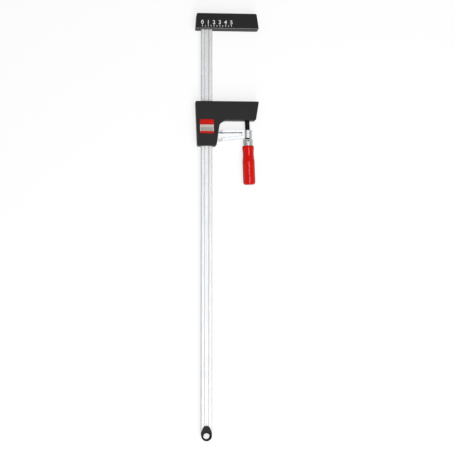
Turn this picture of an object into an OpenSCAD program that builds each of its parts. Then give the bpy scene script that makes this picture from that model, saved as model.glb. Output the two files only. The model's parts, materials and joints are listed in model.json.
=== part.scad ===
// Screw-driven bar clamp with two parallel moulded jaws on a hollow profiled rail.
//
// The rail runs along Y. The fixed jaw closes its +Y end and the cap with the hanging hole its -Y end.
// X points from the rail into the throat and Z is the depth of the jaws, with the back at Z = 0.
// Each group of pieces is drawn in its own plain frame and placed by the on_... modules.

/* [Clamp] */
// Largest opening between the clamping faces
opening = 600; // [300:10:1000]
// Gap between the clamping faces as the clamp is put away
rest_gap = 124.6; // [30:0.1:280]
// Throat, from the edge of the rail to the tips of the jaws
throat = 80; // [74:1:100]
// How far the jaws reach behind the rail
heel = 9.75; // [9.25:0.25:12]
// Depth of the jaws, front to back
jaw_depth = 24; // [23:0.5:28]
// Wall of the moulded housings
wall = 2.8; // [2.2:0.1:3]
// Rounding of the outer edges of the housings
edge_r = 1; // [0.8:0.1:1.8]

/* [Rail] */
// Width of the rail
rail_w = 19.5; // [18:0.5:22]
// Thickness of the rail
rail_t = 9.5; // [8.5:0.5:10.5]
// Wall of the hollow rail
rail_wall = 1.5; // [1.2:0.1:1.8]
// Rounding of the rail's four edges
rail_edge_r = 1.5; // [0.8:0.1:2]
// Width of the groove in each wide face of the rail, at its mouth
groove_w = 8; // [6:0.5:9]
// Depth of the groove
groove_d = 1.2; // [0.6:0.1:1.4]

/* [Fixed jaw] */
// Height of the fixed jaw along the rail
fixed_h = 27; // [25:0.5:34]
// How much the fixed jaw narrows at its tip
fixed_tip_draft = 4; // [1:0.1:5]
// How much the fixed jaw narrows at its heel
fixed_heel_draft = 1.9; // [0.5:0.1:2.5]
// Depth of the socket that holds the rail
socket_depth = 22; // [18:0.5:23]
// Diameter of the spring pins that fasten the jaw to the rail
pin_d = 5; // [3:0.5:5.5]

/* [Sliding jaw] */
// Height of the sliding jaw along the rail
slide_h = 77; // [76:0.5:95]
// Height of its arm at the throat
slide_arm_h = 32.5; // [32:0.5:34]
// How much the arm narrows at its tip
slide_tip_draft = 5; // [2:0.1:8]
// How much the leg narrows at its heel
slide_heel_draft = 3.2; // [1:0.1:3.5]
// Where the lever side of the leg meets the arm, from the rail's centre
leg_top_x = 23; // [21:0.1:26]
// Where the lever side of the leg ends at the bottom, from the rail's centre
leg_foot_x = 16.5; // [15.5:0.1:20]
// Radius of the blend between the leg and the arm
leg_blend_r = 13; // [6:0.5:14]
// Running gap between the sliding jaw and the rail
slide_gap = 0.3; // [0.2:0.05:0.6]
// Size of the square inlay on the leg
inlay_size = 24; // [16:0.5:24]
// Distance from the clamping face to the inlay
inlay_drop = 31.8; // [28:0.1:40]

/* [Clamping plates] */
// Thickness of the plates that close the jaws
plate_t = 3.4; // [2.6:0.1:4]
// How far a plate stands proud of its housing
plate_proud = 0.4; // [0.2:0.1:0.8]
// Width of the housing's rim around a plate
rim = 2; // [1.6:0.1:2.6]

/* [Drag lever] */
// Lean of the spindle while the lever hangs loose, in degrees
rest_tilt = 2; // [0.8:0.1:2]
// Lean of the lever's bore to the lever, in degrees
lever_lean = 1; // [0:0.1:1.2]
// Distance from the clamping face to the lever's bored boss, as put away
lever_drop = 49.2; // [47:0.1:51]
// Height of the eye around the rail
eye_h = 19; // [15:0.5:19]
// Wall of the eye behind the rail
eye_wall = 2.6; // [2:0.1:3]
// Width of the lever's arm, front to back
lever_w = 11; // [8:0.5:13]
// Thickness of the web between the lever's flanges
web_t = 4.5; // [3:0.5:6]
// Height of the upper flange
flange_h = 3.6; // [2.5:0.1:4.5]
// Height of the groove between the upper flange and the web
relief_h = 1.3; // [0.8:0.1:2]
// Diameter of the boss
boss_d = 15.8; // [15:0.2:17]
// Height of the boss
boss_h = 13.4; // [11:0.2:14]

/* [Spindle] */
// Distance from the spindle to the tips of the jaws
screw_inset = 20; // [18:0.5:24]
// Diameter of the spindle
spindle_d = 9; // [8:0.5:10]
// How far the lever can climb the spindle from where it is put away
screw_out = 12; // [6:0.5:12]
// How far the lever can come down the spindle towards the ferrule
screw_in = 1.5; // [0.5:0.1:1.8]
// Radius of the domed pressure foot
foot_r = 8; // [7.5:0.1:8.2]
// Length of the foot below the middle of its dome
foot_skirt = 17.8; // [16:0.1:21.8]
// Thickness of the steel thrust bar
bar_t = 4.2; // [3:0.1:5]

/* [Handle] */
// Diameter of the handle's body
handle_d = 21; // [19:0.5:23]
// Diameter of the neck
neck_d = 18.9; // [18:0.1:19]
// Length of the handle
handle_len = 67.4; // [56:0.1:90]
// Diameter of the ferrule
ferrule_d = 17; // [16:0.2:18]
// Length of the ferrule
ferrule_len = 11.3; // [9:0.1:14]
// Gap between the boss and the ferrule, as put away
ferrule_gap = 2.1; // [2:0.1:4]
// Number of flutes around the body
flutes = 8; // [6:1:12]

/* [End cap] */
// Width of the cap
cap_w = 18.4; // [17:0.1:20]
// How far each tongue of the cap stands proud of the rail
cap_tongue_t = 2; // [1.2:0.1:3]
// Length of the tongues
cap_tongue_len = 9.5; // [8:0.5:12]
// Length of the plug inside the rail
cap_plug_len = 14; // [8:0.5:30]
// Diameter of the hanging hole
hole_d = 10.8; // [8:0.1:11]

/* [Hidden] */
$fn = 72;

// Clearances that several pieces share
fit_gap = 0.1;        // round a piece that is set into its housing
seat_gap = 0.1;       // between the foot and the thrust bar
shaft_gap = 0.05;     // round the spindle in its bores
swing_gap = 0.3;      // beside a piece that rocks
bite_gap = 0.15;      // between the rail and the lever's eye at both ends of its swing
arc_steps = 6;        // straight steps along one rounded corner
edge_steps = 3;       // straight steps across one rounded edge

// Outer limits of the jaws, from the rail's centre
half_w = rail_w / 2;
half_t = rail_t / 2;
heel_x = -half_w - heel;
tip_x = half_w + throat;
screw_x = tip_x - screw_inset;
face_corner_r = edge_r + 0.3;
back_corner_r = edge_r + 1.7;
rib_t = 2;
room_z = jaw_depth / 2 - wall;
jaw_hub = [0, -fixed_h / 2];

// Pins through the fixed jaw and the rail
pin_ys = [socket_depth * 0.33, socket_depth * 0.75];
pin_skin = 3;
pin_wall = 1.2;

// The foot's dome turns about one point, below the seat in the thrust bar
seat_depth = 0.6;
foot_drop = plate_t + bar_t - seat_depth + foot_r;
flange_below = 4;
skirt_r = spindle_d / 2 + 1.5;
spindle_tip = 2;
ring_y = -2.2;
ring_t = 1.2;
ring_bite = 0.75;
ring_grip = 0.5;

// The lever hangs on the spindle; its eye swings across the rail as the spindle leans
boss_drop = lever_drop - foot_drop + boss_h / 2;
eye_depth = boss_drop + screw_in + (eye_h - boss_h) / 2 - screw_x * sin(lever_lean);
swing = eye_depth * sin(rest_tilt) + screw_x * (1 - cos(rest_tilt));
eye_tilt_room = eye_h / 2 * sin(max(lever_lean, rest_tilt - lever_lean));
eye_x = -screw_x - swing / 2;
slot_half = half_w + swing / 2 + eye_tilt_room + bite_gap;
eye_side_gap = 0.7;
eye_half_t = room_z - eye_side_gap;
eye_top = boss_h / 2;
eye_bottom = eye_top - eye_h;
eye_neck = 4;
lever_taper = 12;
lower_flange_h = 3.2;
web_corner_r = 1.2;
relief_web = 1.9;     // left of the web between the grooves
bush_r = spindle_d / 2 + 1.7;

// Room for the lever's eye inside the leg
chamber_top = slide_arm_h + 0.5;
chamber_x = slot_half + eye_wall + swing / 2 + eye_tilt_room + swing_gap;
eye_sag = (screw_x + chamber_x) * sin(max(rest_tilt - lever_lean, 0));
chamber_bottom = lever_drop + eye_h + screw_in + eye_sag + 2 * swing_gap;

// Ferrule and handle, measured down the spindle from the middle of the foot's dome
ferrule_top = boss_drop + boss_h / 2 + ferrule_gap;
handle_top = ferrule_top + ferrule_len;
ferrule_wall = 1.2;
ferrule_pin_d = 2.8;
ferrule_pin_drop = 3.1;
tang_len = 34;
collar_r = handle_d / 2;
shoulder_r = handle_d / 2 + 0.15;
shoulder_drop = 28;
flute_r = 7;
flute_depth = 0.7;

// Leaf spring that keeps the sliding jaw where it is put
spring_t = 0.6;
spring_w = 7.6;
spring_span = 22;
spring_rise = 2.4;
spring_drop = 21;

// Cap: its outline is three circles joined by their tangents, measured from the tip of the tongue
stop_room = 4.5;
cap_tip = -(opening + slide_h + stop_room);
rail_end = cap_tip - cap_tongue_len;
cap_tip_r = 7;
cap_shoulder_drop = 13;
cap_eye_drop = 16.5;
cap_hole_drop = cap_eye_drop + 1.4;
cap_half_t = half_t + cap_tongue_t;
cap_chamfer = 2;
cap_rim_gap = 0.15;

inlay_t = 1.2;
inlay_proud = 0.3;
inlay_corner_r = 2;

// The box around the whole clamp gives the origin: its middle, on the surface that the back lies on
cap_bottom = cap_tip - cap_eye_drop - cap_w / 2;
origin = [(tip_x + heel_x) / 2, (fixed_h + cap_bottom) / 2, -jaw_depth / 2];

/* Frames */

module on_rail() translate(-origin) children();

// The fixed jaw is drawn like the sliding one, with its face at Y = 0 and its body below, then mirrored
module on_fixed_jaw() on_rail() mirror([0, 1, 0]) children();

module on_slide_jaw() on_rail() translate([0, -rest_gap, 0]) children();

// Middle of the foot's dome, with -Y down the leaning spindle
module on_spindle() on_slide_jaw() translate([screw_x, -foot_drop, 0]) rotate([0, 0, rest_tilt]) children();

// Middle of the lever's boss, with the lever square to X
module on_lever() on_spindle() translate([0, -boss_drop, 0]) rotate([0, 0, -lever_lean]) children();

/* Shapes */

function unit(v) = v / norm(v);

// One rounded corner of an outline, as [point, inward normal] pairs; a corner is [x, y, radius]
function corner_arc(before, corner, after) =
    let (
        at = [corner.x, corner.y],
        to_before = unit([before.x, before.y] - at),
        to_after = unit([after.x, after.y] - at),
        half = acos(to_before * to_after) / 2,
        side = cross(to_after, to_before) > 0 ? 1 : -1,
        centre = at + unit(to_before + to_after) * corner[2] / sin(half),
        start = at + to_before * corner[2] / tan(half) - centre
    )
    [for (i = [0 : arc_steps])
        let (
            a = side * (180 - 2 * half) * i / arc_steps,
            arm = [start.x * cos(a) - start.y * sin(a), start.x * sin(a) + start.y * cos(a)]
        )
        [centre + arm, -side * arm / corner[2]]];

// All the rounded corners of an outline that runs anticlockwise
function smooth_path(corners) =
    let (n = len(corners))
    [for (i = [0 : n - 1], q = corner_arc(corners[(i + n - 1) % n], corners[i], corners[(i + 1) % n])) q];

module smooth_shape(corners) polygon([for (q = smooth_path(corners)) q[0]]);

module smooth_plate(corners, z0, z1) translate([0, 0, z0]) linear_extrude(z1 - z0) smooth_shape(corners);

// A plate with this outline whose front and back edges are rounded by r; hub is a point that sees every side
module rounded_plate(corners, hub, half_z, r) {
    path = smooth_path(corners);
    n = len(path);
    lower = [for (i = [0 : edge_steps]) let (a = 90 * i / edge_steps)
        [r * (1 - sin(a)), r * (1 - cos(a)) - half_z]];
    upper = [for (i = [edge_steps : -1 : 0]) [lower[i][0], -lower[i][1]]];
    rings = concat(lower, upper);
    last = len(rings) - 1;
    points = [for (ring = rings, q = path) let (p = q[0] + ring[0] * q[1]) [p.x, p.y, ring[1]]];
    hubs = [[hub.x, hub.y, -half_z], [hub.x, hub.y, half_z]];
    sides = [for (k = [0 : last - 1], i = [0 : n - 1])
        [k * n + i, (k + 1) * n + i, (k + 1) * n + (i + 1) % n, k * n + (i + 1) % n]];
    back = [for (i = [0 : n - 1]) [i, (i + 1) % n, len(points)]];
    front = [for (i = [0 : n - 1]) [last * n + (i + 1) % n, last * n + i, len(points) + 1]];
    polyhedron(concat(points, hubs), concat(back, sides, front));
}

module block(from, to) translate(from) cube(to - from);

// A block that is centred in depth
module core(x0, x1, y0, y1, half_z) block([x0, y0, -half_z], [x1, y1, half_z]);

// A cylinder along Y
module bar(r, y0, y1) translate([0, y0, 0]) rotate([-90, 0, 0]) cylinder(r = r, h = y1 - y0);

// A cone along Y
module cone(r0, r1, y0, y1) translate([0, y0, 0]) rotate([-90, 0, 0]) cylinder(r1 = r0, r2 = r1, h = y1 - y0);

// A profile of [radius, y] turned about Y
module lathe() rotate([-90, 0, 0]) rotate_extrude() children();

// A profile in X and Z drawn out along Y
module along_y(y0, y1) translate([0, y1, 0]) rotate([90, 0, 0]) linear_extrude(y1 - y0) children();

// A rectangle about the centre, with rounded corners
module round_rect(half_x, half_y, r) smooth_shape([[-half_x, -half_y, r], [half_x, -half_y, r],
                                                   [half_x, half_y, r], [-half_x, half_y, r]]);

/* Rail */

// The rail's section, moved inwards by a wall
module rail_section(inset) {
    mouth = groove_w / 2 + inset;
    bed = groove_w / 2 - groove_d / 2 + inset;
    depth = half_t - groove_d - inset;
    difference() {
        round_rect(half_w - inset, half_t - inset, max(rail_edge_r - inset / 2, 0.4));
        for (side = [-1, 1])
            polygon([[-mouth, side * (half_t + inset)], [-mouth, side * (half_t - inset)],
                     [-bed, side * depth], [bed, side * depth],
                     [mouth, side * (half_t - inset)], [mouth, side * (half_t + inset)]]);
    }
}

module rail() {
    color("gainsboro") on_rail() difference() {
        along_y(rail_end, socket_depth - fit_gap) rail_section(0);
        along_y(rail_end - 1, socket_depth + 1) rail_section(rail_wall);
        pin_holes(half_t + 1, half_t + 1);
    }
}

// Holes for the pins through the fixed jaw, from the back towards the front
module pin_holes(back, front) for (y = pin_ys) translate([0, y, -back]) cylinder(d = pin_d, h = back + front);

/* End cap */

// Two circles on the Y axis and the tangents that join them
module tangent_pair(r0, y0, r1, y1) {
    turn = asin((r1 - r0) / (y0 - y1));
    reach = [cos(turn), sin(turn)];
    translate([0, y0]) circle(r0);
    translate([0, y1]) circle(r1);
    polygon([[-reach.x * r0, y0 + reach.y * r0], [-reach.x * r1, y1 + reach.y * r1],
             [reach.x * r1, y1 + reach.y * r1], [reach.x * r0, y0 + reach.y * r0]]);
}

module cap_outline() {
    tangent_pair(cap_tip_r, cap_tip - cap_tip_r, cap_w / 2, cap_tip - cap_shoulder_drop);
    tangent_pair(cap_w / 2, cap_tip - cap_shoulder_drop, cap_w / 2, cap_tip - cap_eye_drop);
}

module end_cap() {
    hole_y = cap_tip - cap_hole_drop;
    color("#1c1c1c") on_rail() {
        difference() {
            translate([0, 0, -cap_half_t]) linear_extrude(2 * cap_half_t) cap_outline();
            core(-rail_w, rail_w, rail_end, cap_tip + 1, half_t);
            translate([0, hole_y, -rail_w]) cylinder(d = hole_d, h = 2 * rail_w);
            for (side = [0, 1]) mirror([0, 0, side]) translate([0, hole_y, cap_half_t - cap_chamfer])
                cylinder(d1 = hole_d, d2 = hole_d + 2 * cap_chamfer, h = cap_chamfer);
        }
        along_y(rail_end, rail_end + cap_plug_len) rail_section(rail_wall + cap_rim_gap);
    }
}

/* Both jaws */

// Opening for the rail, wider than it by a gap
module rail_way(gap, y0, y1) core(-half_w - gap, half_w + gap, y0, y1, half_t + gap);

// Recess that the clamping plate is set into
module plate_recess() core(heel_x + rim, tip_x - rim, -plate_t, 1, jaw_depth / 2 - rim);

// Hollows between the rail and a wall further out, parted by ribs
module cored_pockets(x1, y0, y1, count) {
    x0 = half_w + slide_gap + wall;
    pitch = (x1 - x0 + rib_t) / count;
    for (i = [0 : count - 1]) core(x0 + i * pitch, x0 + (i + 1) * pitch - rib_t, y0, y1, room_z);
}

module clamping_plate(gap) {
    mid_x = (heel_x + tip_x) / 2;
    half_x = (tip_x - heel_x) / 2 - rim - fit_gap;
    color("#2a2a2a") difference() {
        along_y(-plate_t, 0) translate([mid_x, 0]) round_rect(half_x, jaw_depth / 2 - rim - fit_gap, 1);
        rail_way(gap, -plate_t - 1, 1);
    }
}

/* Fixed jaw */

fixed_outline = [
    [heel_x + fixed_heel_draft, -fixed_h, back_corner_r],
    [tip_x - fixed_tip_draft, -fixed_h, back_corner_r],
    [tip_x, -plate_proud, face_corner_r],
    [heel_x, -plate_proud, face_corner_r]];

module fixed_jaw() {
    color("#303030") difference() {
        on_fixed_jaw() difference() {
            rounded_plate(fixed_outline, jaw_hub, jaw_depth / 2, edge_r);
            plate_recess();
            rail_way(0, -socket_depth, 1);
            cored_pockets(tip_x - fixed_tip_draft - wall, wall - fixed_h, 1, 4);
        }
        on_rail() pin_holes(jaw_depth / 2 + 1, jaw_depth / 2 - pin_skin);
    }
}

module fixed_jaw_plate() on_fixed_jaw() clamping_plate(fit_gap);

// Slotted spring pins, pressed in from the back
module jaw_pins() {
    sunk = 0.5;
    color("silver") on_rail() for (y = pin_ys) translate([0, y, 0]) difference() {
        translate([0, 0, sunk - jaw_depth / 2]) cylinder(d = pin_d, h = jaw_depth - pin_skin - 2 * sunk);
        translate([0, 0, -jaw_depth]) cylinder(r = pin_d / 2 - pin_wall, h = 2 * jaw_depth);
        block([0, -0.4, -jaw_depth], [pin_d, 0.4, jaw_depth]);
    }
}

/* Sliding jaw */

slide_outline = [
    [heel_x + slide_heel_draft, -slide_h, back_corner_r],
    [leg_foot_x, -slide_h, back_corner_r],
    [leg_top_x, -slide_arm_h, leg_blend_r],
    [tip_x - slide_tip_draft, -slide_arm_h, back_corner_r],
    [tip_x, -plate_proud, face_corner_r],
    [heel_x, -plate_proud, face_corner_r]];

module inlay_plate(gap, z0, z1) {
    half = inlay_size / 2 + gap;
    translate([0, -inlay_drop - inlay_size / 2, z0]) linear_extrude(z1 - z0)
        round_rect(half, half, inlay_corner_r);
}

// Bore for the pressure foot: a chamber under the thrust bar, and a narrower way out below it
module foot_bore() translate([screw_x, 0, 0]) {
    ledge = -foot_drop - flange_below - swing_gap - fit_gap;
    bar(foot_r + 2 * swing_gap, ledge, -plate_t);
    bar(skirt_r + 3 * swing_gap, -slide_arm_h - 1, ledge + 1);
}

module slide_jaw() {
    bar_bed = -plate_t - bar_t;
    boss_wall_x = screw_x - foot_r - 2 * swing_gap - rib_t;
    color("#303030") on_slide_jaw() difference() {
        rounded_plate(slide_outline, jaw_hub, jaw_depth / 2, edge_r);
        plate_recess();
        rail_way(slide_gap, -slide_h - 1, 1);
        thrust_bar_blank(fit_gap, 1);
        cored_pockets(boss_wall_x, wall - slide_arm_h, bar_bed + 1, 2);
        foot_bore();
        core(-chamber_x, leg_top_x + leg_blend_r + 2, -chamber_bottom, -chamber_top, room_z);
        core(-half_w - spring_rise - spring_t - slide_gap, 0, -spring_drop - spring_span / 2 - 0.5,
             -spring_drop + spring_span / 2 + 0.5, spring_w / 2 + fit_gap);
        inlay_plate(fit_gap, jaw_depth / 2 - inlay_t, jaw_depth);
    }
}

module slide_jaw_plate() on_slide_jaw() clamping_plate(slide_gap);

// Steel bar under the clamping plate, from the rail's side to beyond the spindle
module thrust_bar_blank(gap, over)
    core(half_w + slide_gap + wall - gap, screw_x + foot_r + wall + gap, -plate_t - bar_t, over - plate_t,
         foot_r - 1 + gap);

module thrust_bar() {
    color("darkgray") on_slide_jaw() difference() {
        thrust_bar_blank(0, 0);
        translate([screw_x, -foot_drop, 0]) sphere(r = foot_r + seat_gap);
    }
}

// Bowed leaf that rubs along the rail
module brake_spring() {
    bow_r = (pow(spring_span / 2, 2) + pow(spring_rise, 2)) / (2 * spring_rise);
    crest = -half_w - shaft_gap;
    color("lightsteelblue") on_slide_jaw()
        translate([crest - bow_r, -spring_drop, -spring_w / 2]) intersection() {
            difference() {
                cylinder(r = bow_r, h = spring_w, $fn = 180);
                translate([0, 0, -1]) cylinder(r = bow_r - spring_t, h = spring_w + 2, $fn = 180);
            }
            block([bow_r - spring_rise - spring_t / 2, -spring_span / 2, -1],
                  [bow_r + 1, spring_span / 2, spring_w + 1]);
        }
}

module leg_inlay() {
    color("#c41809") on_slide_jaw() inlay_plate(0, jaw_depth / 2 - inlay_t, jaw_depth / 2 + inlay_proud);
}

/* Pressure foot and spindle */

// A ring-shaped groove around the spindle's axis
module ring_groove(r0, r1, height)
    translate([0, ring_y - height / 2, 0]) lathe() translate([r0, 0]) square([r1 - r0, height]);

module pressure_foot() {
    spindle_r = spindle_d / 2;
    color("#8c8f92") on_spindle() difference() {
        union() {
            intersection() {
                sphere(r = foot_r);
                bar(foot_r + 1, 0, foot_r + 1);
            }
            bar(foot_r, -flange_below, 0);
            bar(skirt_r, -foot_skirt, -flange_below);
        }
        bar(spindle_r + shaft_gap, -foot_skirt - 1, spindle_tip + fit_gap);
        ring_groove(spindle_r, spindle_r + ring_grip + shaft_gap, ring_t + 2 * shaft_gap);
    }
}

// Split ring that keeps the spindle in the foot
module foot_ring() {
    color("silver") on_spindle() difference() {
        ring_groove(spindle_d / 2 - ring_bite + shaft_gap, spindle_d / 2 + ring_grip, ring_t);
        core(0, spindle_d, ring_y - ring_t, ring_y + ring_t, 0.6);
    }
}

module spindle() {
    r = spindle_d / 2;
    tip_chamfer = 0.8;
    color("#1a1a1a") on_spindle() difference() {
        union() {
            bar(r, -handle_top - tang_len, spindle_tip - tip_chamfer);
            cone(r, r - tip_chamfer, spindle_tip - tip_chamfer, spindle_tip);
        }
        ring_groove(r - ring_bite, r + 1, ring_t + 2 * shaft_gap);
        ferrule_pin_hole(0);
    }
}

// Pin hole through the ferrule, the handle's spigot and the spindle
module ferrule_pin_hole(gap) {
    translate([0, -ferrule_top - ferrule_pin_drop, -ferrule_d])
        cylinder(d = ferrule_pin_d + gap, h = 2 * ferrule_d);
}

module ferrule() {
    r = ferrule_d / 2;
    bore_r = spindle_d / 2 + shaft_gap;
    round_over = 1;
    color("silver") on_spindle() difference() {
        lathe() smooth_shape([[bore_r, -handle_top, 0.05], [r, -handle_top, 0.2],
                              [r, -ferrule_top, round_over], [bore_r, -ferrule_top, 0.05]]);
        bar(r - ferrule_wall, -handle_top - 1, -ferrule_top - ferrule_wall);
        ferrule_pin_hole(0);
    }
}

module ferrule_pin() {
    head = ferrule_d / 2 - 0.1;
    color("dimgray") on_spindle() translate([0, -ferrule_top - ferrule_pin_drop, -head])
        cylinder(d = ferrule_pin_d, h = 2 * head);
}

/* Handle */

handle_profile = [
    [0, -handle_len, 0.1],
    [handle_d / 2, -handle_len, 4.5],
    [handle_d / 2, -shoulder_drop - 4, 20],
    [shoulder_r, -shoulder_drop, 3],
    [neck_d / 2, -shoulder_drop * 0.62, 20],
    [neck_d / 2, -shoulder_drop * 0.36, 20],
    [collar_r, -2.8, 2],
    [collar_r - 1.3, 0, 0.4],
    [0, 0, 0.1]];

module handle() {
    spigot_r = ferrule_d / 2 - ferrule_wall - fit_gap;
    flute_reach = handle_d / 2 + flute_r - flute_depth;
    color("#c8160a") on_spindle() difference() {
        union() {
            translate([0, -handle_top, 0]) lathe() smooth_shape(handle_profile);
            bar(spigot_r, -handle_top - 1, -ferrule_top - ferrule_wall - fit_gap);
        }
        bar(spindle_d / 2 + shaft_gap, -handle_top - tang_len - fit_gap, 0);
        for (i = [0 : flutes - 1]) rotate([0, 360 * (i + 0.5) / flutes, 0])
            translate([0, -handle_top, flute_reach]) {
                bar(flute_r, -handle_len - 1, -shoulder_drop - flute_r);
                translate([0, -shoulder_drop - flute_r, 0]) sphere(r = flute_r);
            }
        ferrule_pin_hole(0);
    }
}

/* Drag lever */

lever_side = [
    [eye_x - slot_half - eye_wall, eye_bottom, 2],
    [eye_x + slot_half + eye_neck, eye_bottom, 12],
    [-boss_d / 2 - 1, -boss_h / 2, 6],
    [0, -boss_h / 2, 1],
    [0, eye_top, 1],
    [eye_x - slot_half - eye_wall, eye_top, 2]];

lever_plan = [
    [eye_x - slot_half - eye_wall, -eye_half_t, 2],
    [eye_x + slot_half + eye_neck, -eye_half_t, 6],
    [eye_x + slot_half + eye_neck + lever_taper, -lever_w / 2, 6],
    [0, -lever_w / 2, 1],
    [0, lever_w / 2, 1],
    [eye_x + slot_half + eye_neck + lever_taper, lever_w / 2, 6],
    [eye_x + slot_half + eye_neck, eye_half_t, 6],
    [eye_x - slot_half - eye_wall, eye_half_t, 2]];

// Recess between the flanges, on the front and the back
web_side = [
    [eye_x + slot_half + eye_neck, eye_bottom + lower_flange_h, web_corner_r],
    [-boss_d / 2 - 2, -boss_h / 2 + lower_flange_h, web_corner_r],
    [-boss_d / 2 - 2, eye_top - flange_h, web_corner_r],
    [eye_x + slot_half + eye_neck, eye_top - flange_h, web_corner_r]];

module drag_lever() {
    color("#d8dadc") on_lever() difference() {
        union() {
            intersection() {
                smooth_plate(lever_side, -jaw_depth, jaw_depth);
                along_y(-eye_h, eye_h) smooth_shape(lever_plan);
            }
            bar(boss_d / 2, -boss_h / 2, boss_h / 2);
        }
        core(eye_x - slot_half, eye_x + slot_half, -eye_h, eye_h, half_t + eye_side_gap / 2);
        bar(bush_r, -boss_h, boss_h);
        for (side = [0, 1]) mirror([0, 0, side]) {
            smooth_plate(web_side, web_t / 2, jaw_depth);
            block([eye_x + slot_half + eye_neck, eye_top - flange_h - relief_h, relief_web / 2],
                  [-boss_d / 2 - web_corner_r, eye_top - flange_h, jaw_depth]);
        }
    }
}

// Threaded bush in the boss
module threaded_bush() {
    color("darkkhaki") on_lever() difference() {
        bar(bush_r, -boss_h / 2, boss_h / 2);
        rotate([0, 0, lever_lean]) bar(spindle_d / 2 + shaft_gap, -boss_h, boss_h);
    }
}

rail();
end_cap();
fixed_jaw();
fixed_jaw_plate();
jaw_pins();
slide_jaw();
slide_jaw_plate();
thrust_bar();
brake_spring();
leg_inlay();
pressure_foot();
foot_ring();
spindle();
ferrule();
ferrule_pin();
handle();
drag_lever();
threaded_bush();
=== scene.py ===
"""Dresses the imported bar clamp: housings, drawn rail, drag lever, threaded spindle, fluted handle and stage.

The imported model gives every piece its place. The rail runs along Y, the jaws reach along X, the back lies on
Z = 0. Pieces on the leaning spindle are modelled about the middle of the pressure foot's dome, with -Y down
the spindle, and then turned into place.
"""

import json
import math

import bmesh
import bpy
from mathutils import Matrix, Vector


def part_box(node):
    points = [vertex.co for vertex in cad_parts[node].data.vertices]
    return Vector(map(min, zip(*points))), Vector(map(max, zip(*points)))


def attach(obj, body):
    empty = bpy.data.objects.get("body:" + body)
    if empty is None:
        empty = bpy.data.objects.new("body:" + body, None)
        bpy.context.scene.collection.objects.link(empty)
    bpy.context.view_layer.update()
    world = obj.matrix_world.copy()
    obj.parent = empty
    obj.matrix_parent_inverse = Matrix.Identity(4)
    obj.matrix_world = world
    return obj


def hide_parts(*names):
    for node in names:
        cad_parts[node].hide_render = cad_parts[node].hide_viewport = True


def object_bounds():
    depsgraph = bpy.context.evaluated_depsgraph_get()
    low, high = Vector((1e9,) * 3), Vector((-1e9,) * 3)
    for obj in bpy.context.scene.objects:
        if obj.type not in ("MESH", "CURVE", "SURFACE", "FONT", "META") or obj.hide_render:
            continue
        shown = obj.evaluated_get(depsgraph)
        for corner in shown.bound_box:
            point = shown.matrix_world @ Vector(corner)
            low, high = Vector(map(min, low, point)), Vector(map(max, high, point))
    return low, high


bl_info = {
    "name": "Screw Bar Clamp",
    "version": (1, 0, 0),
    "blender": (4, 5, 0),
    "location": "View3D > Sidebar > Clamp",
    "description": "Dresses a parallel-jaw bar clamp and sets up its stage",
    "category": "Object",
}

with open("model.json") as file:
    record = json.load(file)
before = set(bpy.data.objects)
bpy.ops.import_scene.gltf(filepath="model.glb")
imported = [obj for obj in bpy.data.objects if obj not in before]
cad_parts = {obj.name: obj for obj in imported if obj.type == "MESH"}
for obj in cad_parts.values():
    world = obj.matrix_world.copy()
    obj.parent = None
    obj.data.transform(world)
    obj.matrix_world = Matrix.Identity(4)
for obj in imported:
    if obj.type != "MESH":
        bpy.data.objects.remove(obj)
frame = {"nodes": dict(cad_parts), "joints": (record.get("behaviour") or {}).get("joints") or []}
NODES = frame["nodes"]
CAD_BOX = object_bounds()

MM = 0.001
WELD = 0.001 * MM             # corners nearer than this are one corner
FLAT = math.radians(0.5)      # faces that meet flatter than this are one face
SMOOTH = math.radians(38)     # edges sharper than this stay crisp

# How much of a face's normal points along an axis
LEANS = 0.2
END_ON = 0.5
FACES_UP = 0.9

# What tells the rail's grooves and the lever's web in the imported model
WHOLE_LENGTH = 0.9            # only the rail's own bends run more than this share of its length
GROOVE_REACH = 6 * MM         # the grooves lie nearer than this to the rail's middle line
GROOVE_BED = 2.8 * MM         # and their bends further than this from its middle plane
WEB_MIDDLE = 0.5 * MM         # a face of the lever centred nearer its middle plane runs right across it

# Places of the finishes on pieces that have more than one: a painted highlight on the fixed jaw's edges,
# painted shade in the lever's grooves, and the print on the inlay
EDGE_HIGHLIGHT = 1                    # on the fixed jaw
GROOVE_SHADE = 1                      # on the lever
BAND, BAND_TICK = 1, 2        # on the inlay

TICK_SHARE = 0.6              # height of the inlay's dark ticks as a share of its band's

# The printed scale, in millimetres
SCALE_LENGTH = 50
SCALE_STEP = 5
LABEL_STEP = 10
SCALE_INSET = 11.5            # from the jaw's left side to the tick at 0
SCALE_FOOT = 3.4              # from the jaw's lower edge to the foot of the ticks
LONG_TICK = 3.4
SHORT_TICK = 2.2
TICK_HALF_WIDTH = 0.45
DIGIT_FOOT = 4.4              # from the foot of the ticks to that of the digits
DIGIT_SHARE = 0.7             # height of the font's digits as a share of its size

# Heights along the spindle, in millimetres from the middle of the foot's dome
SPINDLE_TOP = 2
THREAD_TOP = -16
THREAD_BOTTOM = -51
HANDLE_TOP = -61.0
SPIGOT_TOP = HANDLE_TOP + 10
SHOULDER = HANDLE_TOP - 28
SPINDLE_END = HANDLE_TOP - 34
BORE_END = SPINDLE_END - 0.1
HANDLE_END = HANDLE_TOP - 67.4

HEAD_CHAMFER = 0.8            # of the spindle's upper end, in millimetres

# The thread's ridge, in shares of its pitch
ROOT_END, CREST_START, CREST_END, ROOT_START = 0.12, 0.34, 0.66, 0.88
RUN_IN = 1.5                  # turns below its lower end at which the thread is started
SPARE_TURNS = 2               # turns that the cuts at its two ends take off

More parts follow.
